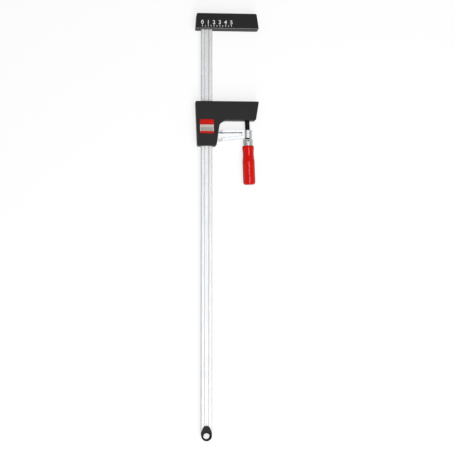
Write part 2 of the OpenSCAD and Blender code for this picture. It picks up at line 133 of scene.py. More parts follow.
# The handle, in millimetres. Its outline lists radius, height and ease. It runs from the spigot inside the
# ferrule down the outside, and back up the bore that holds the spindle.
BODY_RADIUS = 10.5
SPIGOT_RADIUS = 7.2
BORE_RADIUS = 4.55
HANDLE_OUTLINE = (
    (BORE_RADIUS, SPIGOT_TOP, 0),
    (SPIGOT_RADIUS, SPIGOT_TOP, 0),
    (SPIGOT_RADIUS, HANDLE_TOP, 0),
    (9.2, HANDLE_TOP, 0.3),
    (10.5, HANDLE_TOP - 2.8, 1.2),
    (9.45, HANDLE_TOP - 10.1, 3),
    (9.45, HANDLE_TOP - 17.4, 3),
    (10.65, SHOULDER, 1),
    (BODY_RADIUS, SHOULDER - 4, 1.5),
    (BODY_RADIUS, HANDLE_END, 4.4),
    (0, HANDLE_END, 0),
    (0, BORE_END, 0),
    (BORE_RADIUS, BORE_END, 0),
)
STEPS_PER_FLUTE = 20
HANDLE_ROUNDING = 8           # steps in each eased corner
HEIGHT_STEP = 1.5             # between the rings of points that the flutes are cut with

NOISE_LOW, NOISE_HIGH = 0.3, 0.7    # nearly all of a noise pattern lies between these

# The stage, in metres
AIM_X, AIM_Y = 0.3 * MM, -0.9 * MM    # the point that the camera looks at
FLOOR_REACH = 12              # half the floor's side
FLOOR_DROP = 0.2 * MM         # the floor lies this far under the clamp
SOFTBOX_WIDTH, SOFTBOX_LENGTH = 1.1, 5.0
SOFTBOX_X, SOFTBOX_FAR_END, SOFTBOX_HEIGHT = 0.3, 0.5, 2.0
BACKDROP_FULL, BACKDROP_GONE = 0.1, 0.3    # heights of a ray's direction between which the backdrop fades


def linear(hex_colour):
    """An sRGB hex colour as linear red, green and blue."""
    shares = [int(hex_colour[i:i + 2], 16) / 255 for i in (1, 3, 5)]
    return tuple(s / 12.92 if s <= 0.04045 else ((s + 0.055) / 1.055) ** 2.4 for s in shares)


def length_property(name, description, default):
    return bpy.props.FloatProperty(name=name, description=description, default=default * MM, min=0,
                                   precision=5, unit="LENGTH")


def colour_property(name, description, hex_colour):
    return bpy.props.FloatVectorProperty(name=name, description=description, default=linear(hex_colour),
                                         size=3, min=0, max=1, subtype="COLOR")


class ClampSizes(bpy.types.PropertyGroup):
    """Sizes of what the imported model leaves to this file, in metres."""

    thread_pitch: length_property("Thread pitch", "Rise of the spindle's thread in one turn", 2)
    thread_depth: length_property("Thread depth", "Depth of the trapezoidal thread", 0.65)
    thread_turn_steps: bpy.props.IntProperty(
        name="Thread steps", description="Steps in one turn of the thread", default=32, min=12, max=64)
    flute_count: bpy.props.IntProperty(
        name="Flutes", description="Flutes around the handle's body", default=8, min=6, max=12)
    flute_depth: length_property("Flute depth", "Depth of a flute at its middle", 0.7)
    flute_radius: length_property("Flute radius", "Radius of the cutter that leaves a flute", 7)
    groove_bend: length_property("Groove bend", "Rounding of the rail's bends beside its grooves", 0.5)
    moulded_edge: length_property("Moulded edge", "Rounding of the housings' small edges", 0.25)
    cast_edge: length_property("Cast edge", "Rounding of the lever's cast edges", 0.7)
    # Reach of the painted shade in the lever's grooves, from the lever's middle plane
    groove_shade_reach: length_property("Groove shade reach", "How far from the lever's middle the painted groove shade reaches", 2)
    # Width of the painted highlight along the fixed jaw's edges beside its plate
    edge_highlight_width: length_property("Edge highlight width", "Width of the painted highlight beside the fixed jaw's plate", 1.4)
    turned_edge: length_property("Turned edge", "Broken edge of the turned steel pieces", 0.2)
    inlay_corner: length_property("Inlay corner", "Radius of the inlay's corners", 2)
    inlay_edge: length_property("Inlay edge", "Rounding of the inlay's upper edge", 0.35)
    band_drop: length_property("Band drop", "From the inlay's upper edge to its pale band", 9.2)
    band_height: length_property("Band height", "Height of the pale band", 11)
    band_ticks: bpy.props.IntProperty(
        name="Band ticks", description="Dark ticks along the pale band", default=6, min=0, max=12)
    band_tick_width: length_property("Band tick width", "Width of one dark tick", 1.3)
    digit_height: length_property("Digit height", "Height of the scale's digits", 6.4)
    digit_weight: length_property("Digit weight", "How much bolder the digits are than the plain font", 0.16)
    ink_thickness: length_property("Ink thickness", "How proud the printed scale stands", 0.03)


class ClampColours(bpy.types.PropertyGroup):
    """Colours of the finishes."""

    housing: colour_property("Housing", "Black glass-filled polyamide", "#1A1A1B")
    end_cap: colour_property("End cap", "Black polyamide of the rail's cap", "#0E0E0F")
    # A light grey painted along the fixed jaw's edges as a highlight
    painted_edge_highlight: colour_property("Painted edge highlight", "Painted highlight along the housing's edge", "#787A7C")
    plate: colour_property("Plate", "Smooth polyamide of the clamping plates", "#141415")
    rail: colour_property("Rail", "Galvanised steel", "#DADCDE")
    bright_steel: colour_property("Bright steel", "Zinc-plated lever and thrust bar", "#DADCDE")
    ferrule: colour_property("Ferrule", "Zinc-plated tube on the handle", "#CCCED0")
    # Near-black painted into the lever's grooves as the shade under the flanges
    painted_groove_shade: colour_property("Painted groove shade", "Painted shade at the bottom of the lever's grooves", "#202122")
    black_steel: colour_property("Black steel", "Oiled black oxide of spindle and foot", "#232325")
    spring_steel: colour_property("Spring steel", "Tempered springs and pins", "#8E9094")
    bronze: colour_property("Bronze", "Bush in the lever's boss", "#B58A4A")
    handle: colour_property("Handle", "Red lacquer on the wooden handle", "#DE0C00")
    inlay: colour_property("Inlay", "Red inlay on the leg", "#CC1204")
    band: colour_property("Band", "Pale band across the inlay", "#C8C2BA")
    band_ink: colour_property("Band ink", "Dark ticks on the inlay's band", "#3A3432")
    ink: colour_property("Ink", "White ink of the scale on the fixed jaw", "#F2F2F0")


class ClampStage(bpy.types.PropertyGroup):
    """Camera, floor and light."""

    lens: bpy.props.FloatProperty(
        name="Lens", description="Focal length on a 36 mm sensor, in millimetres",
        default=89.68, min=20, max=300)
    distance: length_property("Camera distance", "From the middle of the clamp to the camera", 1950)
    yaw: bpy.props.FloatProperty(
        name="Camera yaw", description="How far the camera leans to the rail's side",
        default=math.radians(4.7), unit="ROTATION")
    pitch: bpy.props.FloatProperty(
        name="Camera pitch", description="How far the camera leans to the end cap's side",
        default=math.radians(1.55), unit="ROTATION")
    floor: colour_property("Floor", "Plain pale floor", "#909090")
    floor_lift: bpy.props.FloatProperty(
        name="Floor lift", description="Brightness that camera, gloss and transmission rays see on the floor",
        default=0.75, min=0, max=1)
    softbox: bpy.props.FloatProperty(
        name="Softbox", description="Power of the overhead softbox, in watts", default=70, min=0)
    ceiling: bpy.props.FloatProperty(
        name="Ceiling", description="Strength of the even light from the whole room", default=0.3, min=0)


# Materials


def add_node(tree, kind, inputs=None, **settings):
    """Adds a node. An input is given a value, or another node's output to link to."""
    node = tree.nodes.new(kind)
    for name, value in settings.items():
        setattr(node, name, value)
    for name, value in (inputs or {}).items():
        if isinstance(value, bpy.types.NodeSocket):
            tree.links.new(value, node.inputs[name])
        else:
            node.inputs[name].default_value = value
    return node


def start_finish(name, surface):
    """A material with the shader's fixed values, and the Object coordinates that its patterns read."""
    finish = bpy.data.materials.new(name)
    finish.use_nodes = True
    tree = finish.node_tree
    tree.nodes.clear()
    shader = add_node(tree, "ShaderNodeBsdfPrincipled", surface)
    add_node(tree, "ShaderNodeOutputMaterial", {"Surface": shader.outputs["BSDF"]})
    place = add_node(tree, "ShaderNodeTexCoord").outputs["Object"]
    return finish, tree, shader, place


def shade(colour, share):
    """A linear colour made darker or lighter, with alpha."""
    return tuple(min(1, c * share) for c in colour[:3]) + (1,)


def vary(tree, shader, factor, colour, low, high):
    """Links the shader's colour to a pattern that runs between two shades of one colour."""
    mix = add_node(tree, "ShaderNodeMix", {0: factor, 6: shade(colour, low), 7: shade(colour, high)},
                   data_type="RGBA")
    tree.links.new(mix.outputs[2], shader.inputs["Base Color"])


def spread(tree, factor, low, high):
    """A noise pattern stretched to run from low to high."""
    return add_node(tree, "ShaderNodeMapRange", {
        "Value": factor, "From Min": NOISE_LOW, "From Max": NOISE_HIGH, "To Min": low, "To Max": high,
    }).outputs["Result"]


def moulded_polyamide(name, colour, grain, relief, roughness):
    """Black glass-filled polyamide from a spark-eroded mould: a matt, even black with a fine leathery grain.

    The real grain is about 0.2 mm; it is drawn coarser, as the grain argument says, so that it shows.
    """
    finish, tree, shader, place = start_finish(name, {"IOR": 1.53, "Specular IOR Level": 0.2})
    spark = add_node(tree, "ShaderNodeTexNoise", {"Vector": place, "Scale": 1 / grain, "Detail": 3,
                                                  "Roughness": 0.6})
    flow = add_node(tree, "ShaderNodeTexNoise", {"Vector": place, "Scale": 1 / (18 * MM), "Detail": 2})
    vary(tree, shader, flow.outputs["Fac"], colour, low=0.85, high=1.2)
    tree.links.new(spread(tree, spark.outputs["Fac"], low=roughness - 0.06, high=roughness + 0.08),
                   shader.inputs["Roughness"])
    bump = add_node(tree, "ShaderNodeBump", {"Height": spark.outputs["Fac"], "Strength": relief,
                                             "Distance": 0.1 * MM})
    tree.links.new(bump.outputs["Normal"], shader.inputs["Normal"])
    return finish


def drawn_galvanised_steel(name, colour):
    """Galvanised strip, roll-formed to the rail: grey-white metal with faint draw lines along its length.

    The oxide on the zinc scatters part of the light, so the finish is not wholly metallic.
    """
    finish, tree, shader, place = start_finish(name, {"Metallic": 0.6})
    drawn = add_node(tree, "ShaderNodeMapping", {
        "Vector": place, "Scale": (1 / (0.7 * MM), 1 / (90 * MM), 1 / (0.7 * MM))})
    lines = add_node(tree, "ShaderNodeTexNoise", {
        "Vector": drawn.outputs["Vector"], "Scale": 1.0, "Detail": 2})
    cloud = add_node(tree, "ShaderNodeTexNoise", {"Vector": place, "Scale": 1 / (22 * MM), "Detail": 3})
    vary(tree, shader, cloud.outputs["Fac"], colour, low=0.93, high=1.04)
    tree.links.new(spread(tree, lines.outputs["Fac"], low=0.48, high=0.6), shader.inputs["Roughness"])
    bump = add_node(tree, "ShaderNodeBump", {"Height": lines.outputs["Fac"], "Strength": 0.12,
                                             "Distance": 0.05 * MM})
    tree.links.new(bump.outputs["Normal"], shader.inputs["Normal"])
    return finish


def zinc_plated_steel(name, colour, grain, relief, roughness):
    """Zinc on a cast or turned steel piece: clear silver, softened by the surface under the plating."""
    finish, tree, shader, place = start_finish(name, {"Metallic": 1.0})
    skin = add_node(tree, "ShaderNodeTexNoise", {"Vector": place, "Scale": 1 / grain, "Detail": 3})
    vary(tree, shader, skin.outputs["Fac"], colour, low=0.92, high=1.05)
    tree.links.new(spread(tree, skin.outputs["Fac"], low=roughness - 0.04, high=roughness + 0.06),
                   shader.inputs["Roughness"])
    bump = add_node(tree, "ShaderNodeBump", {"Height": skin.outputs["Fac"], "Strength": relief,
                                             "Distance": 0.1 * MM})
    tree.links.new(bump.outputs["Normal"], shader.inputs["Normal"])
    return finish


def black_oxide_steel(name, colour):
    """Steel blackened in a hot bath and oiled: nearly black, with a soft and slightly patchy sheen."""
    finish, tree, shader, place = start_finish(name, {"Metallic": 0.85})
    patch = add_node(tree, "ShaderNodeTexNoise", {"Vector": place, "Scale": 1 / (3 * MM), "Detail": 4})
    vary(tree, shader, patch.outputs["Fac"], colour, low=0.7, high=1.3)
    tree.links.new(spread(tree, patch.outputs["Fac"], low=0.28, high=0.42), shader.inputs["Roughness"])
    return finish


def tempered_spring_steel(name, colour):
    """Rolled and tempered spring strip: plain mid-grey metal with a faint rolled grain."""
    finish, tree, shader, place = start_finish(name, {"Metallic": 1.0})
    rolled = add_node(tree, "ShaderNodeMapping", {
        "Vector": place, "Scale": (1 / (0.4 * MM), 1 / (6 * MM), 1 / (0.4 * MM))})
    grain = add_node(tree, "ShaderNodeTexNoise", {
        "Vector": rolled.outputs["Vector"], "Scale": 1.0, "Detail": 2})
    vary(tree, shader, grain.outputs["Fac"], colour, low=0.85, high=1.1)
    tree.links.new(spread(tree, grain.outputs["Fac"], low=0.3, high=0.45), shader.inputs["Roughness"])
    return finish


def machined_bronze(name, colour):
    """Turned tin bronze: warm metal, its cut face a little uneven in shade and sheen."""
    finish, tree, shader, place = start_finish(name, {"Metallic": 1.0})
    skin = add_node(tree, "ShaderNodeTexNoise", {"Vector": place, "Scale": 1 / (0.8 * MM), "Detail": 2})
    vary(tree, shader, skin.outputs["Fac"], colour, low=0.85, high=1.1)
    tree.links.new(spread(tree, skin.outputs["Fac"], low=0.25, high=0.4), shader.inputs["Roughness"])
    return finish


def lacquered_beech(name, colour):
    """Turned beech under red lacquer: strong red with a clear gloss, and the grain just showing along Y."""
    finish, tree, shader, place = start_finish(name, {
        "Roughness": 0.55, "IOR": 1.5, "Specular IOR Level": 0.02, "Coat Weight": 0.5, "Coat Roughness": 0.07,
        "Coat IOR": 1.5})
    along = add_node(tree, "ShaderNodeMapping", {
        "Vector": place, "Scale": (1 / (1.1 * MM), 1 / (14 * MM), 1 / (1.1 * MM))})
    grain = add_node(tree, "ShaderNodeTexNoise", {
        "Vector": along.outputs["Vector"], "Scale": 1.0, "Detail": 4, "Distortion": 0.4})
    vary(tree, shader, grain.outputs["Fac"], colour, low=0.8, high=1.15)
    bump = add_node(tree, "ShaderNodeBump", {"Height": grain.outputs["Fac"], "Strength": 0.06,
                                             "Distance": 0.2 * MM})
    tree.links.new(bump.outputs["Normal"], shader.inputs["Normal"])
    return finish


def glossy_abs(name, colour):
    """Red ABS from a polished mould: saturated, with a mild gloss and the slight waves of a moulded face."""
    finish, tree, shader, place = start_finish(name, {
        "IOR": 1.54, "Roughness": 0.3, "Specular IOR Level": 0.05})
    wave = add_node(tree, "ShaderNodeTexNoise", {"Vector": place, "Scale": 1 / (6 * MM), "Detail": 1})
    vary(tree, shader, wave.outputs["Fac"], colour, low=0.86, high=1.1)
    bump = add_node(tree, "ShaderNodeBump", {"Height": wave.outputs["Fac"], "Strength": 0.1,
                                             "Distance": 0.2 * MM})
    tree.links.new(bump.outputs["Normal"], shader.inputs["Normal"])
    return finish


def pad_print(name, colour):
    """Pad-printed ink on the inlay: flat and matt, a little thin where the pad lifted off."""
    finish, tree, shader, place = start_finish(name, {"IOR": 1.5, "Roughness": 0.45})
    patch = add_node(tree, "ShaderNodeTexNoise", {"Vector": place, "Scale": 1 / (1.5 * MM), "Detail": 3})
    vary(tree, shader, patch.outputs["Fac"], colour, low=0.8, high=1.08)
    return finish


def screen_ink(name, colour):
    """White screen ink on the housing: matt, and slightly broken by the grain under it."""
    finish, tree, shader, place = start_finish(name, {"IOR": 1.5, "Roughness": 0.6})
    patch = add_node(tree, "ShaderNodeTexNoise", {"Vector": place, "Scale": 1 / (0.5 * MM), "Detail": 2})
    vary(tree, shader, patch.outputs["Fac"], colour, low=0.86, high=1.05)
    return finish


# Modelling


def merged_copy(node):
    """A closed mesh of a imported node, whose own mesh is loose triangles."""
    bm = bmesh.new()
    bm.from_mesh(NODES[node].data)
    bmesh.ops.remove_doubles(bm, verts=bm.verts, dist=WELD)
    bmesh.ops.dissolve_limit(bm, angle_limit=FLAT, verts=bm.verts, edges=bm.edges)
    return bm


def add_piece(name, bm, finishes, body, replaces=(), edge=0):
    """Makes the piece from its bmesh, with crisp and smooth edges told apart, and puts it on its body."""
    mesh = bpy.data.meshes.new(name)
    bm.to_mesh(mesh)
    bm.free()
    for finish in finishes:
        mesh.materials.append(finish)
    mesh.shade_smooth()
    mesh.set_sharp_from_angle(angle=SMOOTH)
    piece = bpy.data.objects.new(name, mesh)
    bpy.context.scene.collection.objects.link(piece)
    if edge:
        bevel = piece.modifiers.new("Broken edges", "BEVEL")
        bevel.width = edge
        bevel.segments = 2
        bevel.limit_method = "ANGLE"
        bevel.angle_limit = SMOOTH
        bevel.harden_normals = True
    weigh = piece.modifiers.new("Flat faces stay flat", "WEIGHTED_NORMAL")
    weigh.keep_sharp = True
    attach(piece, body)
    if replaces:
        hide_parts(*replaces)


def joint(name):
    return next(j for j in frame["joints"] if j["name"] == name)


def spindle_place():
    """The turn and shift that put a piece modelled about the foot's dome in its place on the spindle."""
    turn = joint("spindle_turn")
    up = Vector(turn["axis"]).normalized()
    front = Vector((0, 0, 1))
    axes = Matrix((up.cross(front), up, front)).transposed()
    return Matrix.Translation(turn["pos_m"]) @ axes.to_4x4()


def turned(bm, corners, steps=96, rounding=6):
    """Spins a closed outline of (radius, height, ease) round Y. The ease is how far from the corner its
    rounding starts; all three are in millimetres."""
    flat = bmesh.new()
    verts = [flat.verts.new((r * MM, y * MM, 0)) for r, y, _ in corners]
    flat.faces.new(verts)
    for vert, (_, _, ease) in zip(verts, corners):
        if ease:
            bmesh.ops.bevel(flat, geom=[vert], offset=ease * MM, offset_type="OFFSET", segments=rounding,
                            profile=0.5, affect="VERTICES", material=-1)
    flat.faces.ensure_lookup_table()
    rim = [bm.verts.new(corner.vert.co) for corner in flat.faces[0].loops]
    flat.free()
    off_axis = [pair for pair in zip(rim, rim[1:] + rim[:1]) if max(v.co.x for v in pair) > WELD]
    edges = [bm.edges.new(pair) for pair in off_axis]
    bmesh.ops.spin(bm, geom=rim + edges, cent=(0, 0, 0), axis=(0, 1, 0), angle=math.tau, steps=steps,
                   use_merge=True)
    bmesh.ops.remove_doubles(bm, verts=bm.verts, dist=WELD)
    bmesh.ops.recalc_face_normals(bm, faces=bm.faces)


def cut_across(bm, point, normal, clear_outer=False):
    """Cuts every face that a plane crosses. The side that the normal points to is kept, or cleared."""
    bmesh.ops.bisect_plane(bm, geom=bm.verts[:] + bm.edges[:] + bm.faces[:], plane_co=point, plane_no=normal,
                           clear_outer=clear_outer)


def subdivided_height(bm, low, high, step):
    """Cuts a turned piece across every step of its height between two heights, in millimetres."""
    for i in range(1, int((high - low) / step)):
        cut_across(bm, (0, (low + i * step) * MM, 0), (0, 1, 0))


def box_corners(node):
    low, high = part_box(node)
    return Vector(low), Vector(high)


def prism(bm, low, high):
    """A box between two corners."""
    size = Vector(high) - Vector(low)
    place = Matrix.Translation((Vector(low) + Vector(high)) / 2) @ Matrix.Diagonal((*size, 1))
    bmesh.ops.create_cube(bm, size=1, matrix=place)


# Operators


class CLAMP_OT_rail(bpy.types.Operator):
    """Dress the hollow rail and the moulded cap at its end"""

    bl_idname = "clamp.rail"
    bl_label = "Rail and end cap"

    def execute(self, context):
        sizes, colours = context.scene.clamp_sizes, context.scene.clamp_colours
        steel = drawn_galvanised_steel("galvanised steel, drawn", colours.rail)
        bm = merged_copy("rail")
        low, high = box_corners("rail")
        bends = self.groove_bends(bm, (low + high) / 2, high.y - low.y)
        bmesh.ops.bevel(bm, geom=bends, offset=sizes.groove_bend, offset_type="OFFSET", segments=3,
                        profile=0.5, affect="EDGES", material=-1)
        add_piece("rail_profile", bm, [steel], "frame", ["rail"])
        moulded = moulded_polyamide("polyamide, spark-grained cap", colours.end_cap,
                                    grain=0.7 * MM, relief=0.4, roughness=0.5)
        add_piece("end_cap_moulding", merged_copy("end_cap"), [moulded], "frame", ["end_cap"],
                  edge=sizes.moulded_edge)
        return {"FINISHED"}

    @staticmethod
    def groove_bends(bm, centre, length):
        """The bends at the mouth and bed of the front and back grooves, which run the rail's whole length."""
        bends = []
        for edge in bm.edges:
            one, other = (vert.co - centre for vert in edge.verts)
            along = abs(one.y - other.y) > WHOLE_LENGTH * length
            at_groove = max(abs(one.x), abs(other.x)) < GROOVE_REACH and abs(one.z) > GROOVE_BED
            if along and at_groove and edge.calc_face_angle(0) > SMOOTH:
                bends.append(edge)
        return bends


class CLAMP_OT_housings(bpy.types.Operator):
    """Dress the two moulded jaws and the plates that close them"""

    bl_idname = "clamp.housings"
    bl_label = "Jaw housings"

    def execute(self, context):
        sizes, colours = context.scene.clamp_sizes, context.scene.clamp_colours
        grained = moulded_polyamide("glass-filled polyamide, spark-grained", colours.housing,
                                    grain=0.8 * MM, relief=0.45, roughness=0.5)
        # A lighter, glossier polyamide: its grey is a painted highlight along the edges beside the fixed jaw's
        # plate
        painted_edge_highlight = moulded_polyamide("polyamide, painted edge highlight", colours.painted_edge_highlight,
                                   grain=0.8 * MM, relief=0.05, roughness=0.34)
        smooth = moulded_polyamide("polyamide, fine-ground mould", colours.plate,
                                   grain=0.5 * MM, relief=0.15, roughness=0.55)
        for jaw, body in (("fixed_jaw", "frame"), ("slide_jaw", "slider")):
            bm = merged_copy(jaw)
            if jaw == "fixed_jaw":
                low, _ = box_corners(jaw)
                # Edge faces beside the plate that lean down towards it get the painted highlight
                for face in bm.faces:
                    beside_plate = face.calc_center_median().y < low.y + sizes.edge_highlight_width
                    if beside_plate and face.normal.y < -LEANS and abs(face.normal.z) > LEANS:
                        face.material_index = EDGE_HIGHLIGHT
            add_piece(jaw + "_housing", bm, [grained, painted_edge_highlight], body, [jaw])
            plate = jaw + "_plate"
            add_piece(plate + "_moulding", merged_copy(plate), [smooth], body, [plate],
                      edge=sizes.moulded_edge)
        return {"FINISHED"}


class CLAMP_OT_inlay(bpy.types.Operator):
    """Model the red inlay on the leg, with its pale band and dark ticks"""

    bl_idname = "clamp.inlay"
    bl_label = "Leg inlay"

    def execute(self, context):
        sizes, colours = context.scene.clamp_sizes, context.scene.clamp_colours
        low, high = box_corners("leg_inlay")
        centre = (low + high) / 2
        bm = bmesh.new()
        bmesh.ops.create_grid(bm, x_segments=1, y_segments=1, size=(high.x - low.x) / 2,
                              matrix=Matrix.Translation((centre.x, centre.y, low.z)))
        bmesh.ops.bevel(bm, geom=bm.verts[:], offset=sizes.inlay_corner, offset_type="OFFSET", segments=6,
                        profile=0.5, affect="VERTICES", material=-1)
        raised = bmesh.ops.extrude_face_region(bm, geom=bm.faces[:])["geom"]
        top = [part for part in raised if isinstance(part, bmesh.types.BMVert)]
        bmesh.ops.translate(bm, vec=(0, 0, high.z - low.z), verts=top)
        bmesh.ops.recalc_face_normals(bm, faces=bm.faces)
        rim = [e for e in bm.edges if all(v.co.z > high.z - WELD for v in e.verts)]
        bmesh.ops.bevel(bm, geom=rim, offset=sizes.inlay_edge, offset_type="OFFSET", segments=3, profile=0.5,
                        affect="EDGES", material=-1)
        band_top = high.y - sizes.band_drop
        band_foot = band_top - sizes.band_height
        tick_top = band_foot + TICK_SHARE * sizes.band_height
        pitch = (high.x - low.x) / (sizes.band_ticks + 1)
        ticks = [low.x + (i + 1) * pitch for i in range(sizes.band_ticks)]
        half = sizes.band_tick_width / 2
        for y in (band_top, tick_top, band_foot):
            cut_across(bm, (0, y, 0), (0, 1, 0))
        for x in ticks:
            cut_across(bm, (x - half, 0, 0), (1, 0, 0))
            cut_across(bm, (x + half, 0, 0), (1, 0, 0))
        for face in bm.faces:
            middle = face.calc_center_median()
            if face.normal.z > FACES_UP and band_foot < middle.y < band_top:
                on_tick = middle.y < tick_top and any(abs(middle.x - x) < half for x in ticks)
                face.material_index = BAND_TICK if on_tick else BAND
        red = glossy_abs("red ABS, polished mould", colours.inlay)
        band = pad_print("pale pad print", colours.band)
        ink = pad_print("dark pad print", colours.band_ink)
        add_piece("inlay", bm, [red, band, ink], "slider", ["leg_inlay"])
        return {"FINISHED"}


class CLAMP_OT_scale(bpy.types.Operator):
    """Print a plain scale in centimetres on the front of the fixed jaw"""

    bl_idname = "clamp.scale"
    bl_label = "Printed scale"

    def execute(self, context):
        sizes = context.scene.clamp_sizes
        low, high = box_corners("fixed_jaw")
        first_x = low.x + SCALE_INSET * MM
        foot_y = low.y + SCALE_FOOT * MM
        half = TICK_HALF_WIDTH * MM
        bm = bmesh.new()
        for tick in range(0, SCALE_LENGTH + 1, SCALE_STEP):
            x = first_x + tick * MM
            labelled = tick % LABEL_STEP == 0
            height = (LONG_TICK if labelled else SHORT_TICK) * MM
            prism(bm, (x - half, foot_y, high.z - sizes.ink_thickness),
                  (x + half, foot_y + height, high.z + sizes.ink_thickness))
            if labelled:
                self.add_digit(bm, str(tick // LABEL_STEP), x, foot_y + DIGIT_FOOT * MM, high.z, sizes)
        bmesh.ops.remove_doubles(bm, verts=bm.verts, dist=WELD)
        bmesh.ops.recalc_face_normals(bm, faces=bm.faces)
        ink = screen_ink("white screen ink", context.scene.clamp_colours.ink)
        add_piece("fixed_jaw_scale", bm, [ink], "frame")
        return {"FINISHED"}

    @staticmethod
    def add_digit(bm, digit, x, y, z, sizes):
        """Adds the mesh of one digit, with the middle of its foot at a place."""
        curve = bpy.data.curves.new("digit", "FONT")
        curve.body = digit
        curve.align_x = "CENTER"
        curve.size = sizes.digit_height / DIGIT_SHARE
        curve.extrude = sizes.ink_thickness
        curve.offset = sizes.digit_weight
        holder = bpy.data.objects.new("digit", curve)
        mesh = bpy.data.meshes.new_from_object(holder)
        mesh.transform(Matrix.Translation((x, y, z)))
        bm.from_mesh(mesh)
        bpy.data.objects.remove(holder)
        bpy.data.curves.remove(curve)
        bpy.data.meshes.remove(mesh)


class CLAMP_OT_lever(bpy.types.Operator):
    """Dress the cast drag lever and the bush in its boss"""

    bl_idname = "clamp.lever"
    bl_label = "Drag lever"

    def execute(self, context):
        sizes, colours = context.scene.clamp_sizes, context.scene.clamp_colours
        cast = zinc_plated_steel("zinc-plated casting", colours.bright_steel,
                                 grain=1.2 * MM, relief=0.18, roughness=0.49)
        # Near-black plating painted into the grooves under the flanges as their shade
        groove_shade = zinc_plated_steel("painted shade in the lever's grooves", colours.painted_groove_shade,
                                 grain=1.2 * MM, relief=0.3, roughness=0.6)
        bm = merged_copy("drag_lever")
        low, high = box_corners("drag_lever")
        # Web faces close to the middle plane, in the grooves, get the painted shade
        for face in bm.faces:
            off_middle = abs(face.calc_center_median().z - (low.z + high.z) / 2)
            if WEB_MIDDLE < off_middle < sizes.groove_shade_reach and abs(face.normal.x) < END_ON:
                face.material_index = GROOVE_SHADE
        add_piece("drag_lever_casting", bm, [cast, groove_shade], "lever", ["drag_lever"],
                  edge=sizes.cast_edge)
        bronze = machined_bronze("bronze, machined", colours.bronze)
        add_piece("bush", merged_copy("threaded_bush"), [bronze], "lever", ["threaded_bush"])
        return {"FINISHED"}


class CLAMP_OT_spindle(bpy.types.Operator):
    """Model the spindle with its thread, and dress the pressure foot and its ring"""

    bl_idname = "clamp.spindle"
    bl_label = "Spindle and foot"

    def execute(self, context):
        sizes, colours = context.scene.clamp_sizes, context.scene.clamp_colours
        blackened = black_oxide_steel("steel, black oxide", colours.black_steel)
        low, high = box_corners("spindle")
        crest = (high.z - low.z) / 2 / MM
        bm = bmesh.new()
        self.cut_thread(bm, sizes, crest, THREAD_TOP, THREAD_BOTTOM)
        turned(bm, [(0, SPINDLE_TOP, 0), (crest - HEAD_CHAMFER, SPINDLE_TOP, 0.3),
                    (crest, SPINDLE_TOP - HEAD_CHAMFER, 0.3), (crest, THREAD_TOP, 0), (0, THREAD_TOP, 0)])
        turned(bm, [(0, THREAD_BOTTOM, 0), (crest, THREAD_BOTTOM, 0), (crest, SPINDLE_END, 0.5),
                    (0, SPINDLE_END, 0)])
        bmesh.ops.transform(bm, matrix=spindle_place(), verts=bm.verts)
        add_piece("threaded_spindle", bm, [blackened], "screw", ["spindle"])
        add_piece("foot", merged_copy("pressure_foot"), [blackened], "foot", ["pressure_foot"],
                  edge=sizes.turned_edge)
        spring = tempered_spring_steel("spring steel ring", colours.spring_steel)
        add_piece("foot_snap_ring", merged_copy("foot_ring"), [spring], "foot", ["foot_ring"])
        return {"FINISHED"}

    @staticmethod
    def cut_thread(bm, sizes, crest, top, bottom):
        """A right-hand trapezoidal thread with flat closed ends, its crest and heights in millimetres."""
        pitch = sizes.thread_pitch
        tip = crest * MM
        root = tip - sizes.thread_depth
        steps = sizes.thread_turn_steps
        turns = math.ceil((top - bottom) * MM / pitch) + SPARE_TURNS
        ridge = ((root, 0), (root, ROOT_END), (tip, CREST_START), (tip, CREST_END), (root, ROOT_START),
                 (root, 1))
        start = bottom * MM - RUN_IN * pitch
        verts = [bm.verts.new((r, start + share * pitch, 0)) for r, share in ridge]
        edges = [bm.edges.new(pair) for pair in zip(verts, verts[1:])]
        bmesh.ops.spin(bm, geom=verts + edges, cent=(0, 0, 0), axis=(0, 1, 0), dvec=(0, pitch / steps, 0),
                       angle=math.tau * turns, steps=steps * turns)
        bmesh.ops.remove_doubles(bm, verts=bm.verts, dist=WELD)
        for height, up in ((top, 1), (bottom, -1)):
            cut_across(bm, (0, height * MM, 0), (0, up, 0), clear_outer=True)
        bmesh.ops.holes_fill(bm, edges=[e for e in bm.edges if e.is_boundary], sides=0)
        bmesh.ops.recalc_face_normals(bm, faces=bm.faces)


class CLAMP_OT_ferrule(bpy.types.Operator):
    """Dress the ferrule and model the domed pin through it"""

    bl_idname = "clamp.ferrule"
    bl_label = "Ferrule and pin"

    def execute(self, context):
        colours = context.scene.clamp_colours
        bright = zinc_plated_steel("zinc-plated tube", colours.ferrule,
                                   grain=2.5 * MM, relief=0.05, roughness=0.52)
        add_piece("ferrule_tube", merged_copy("ferrule"), [bright], "screw", ["ferrule"],
                  edge=context.scene.clamp_sizes.turned_edge)
        low, high = box_corners("ferrule_pin")
        radius = (high.x - low.x) / 2 / MM
        half = (high.z - low.z) / 2 / MM
        bm = bmesh.new()
        turned(bm, [(0, -half, 0), (radius, -half, 0.5), (radius, half, 0.5), (0, half, 0)], steps=32)
        centre = (low + high) / 2
        bmesh.ops.transform(bm, matrix=Matrix.Translation(centre) @ Matrix.Rotation(math.pi / 2, 4, "X"),
                            verts=bm.verts)
        dark = black_oxide_steel("roll pin, blackened", colours.black_steel)
        add_piece("cross_pin", bm, [dark], "screw", ["ferrule_pin"])
        return {"FINISHED"}


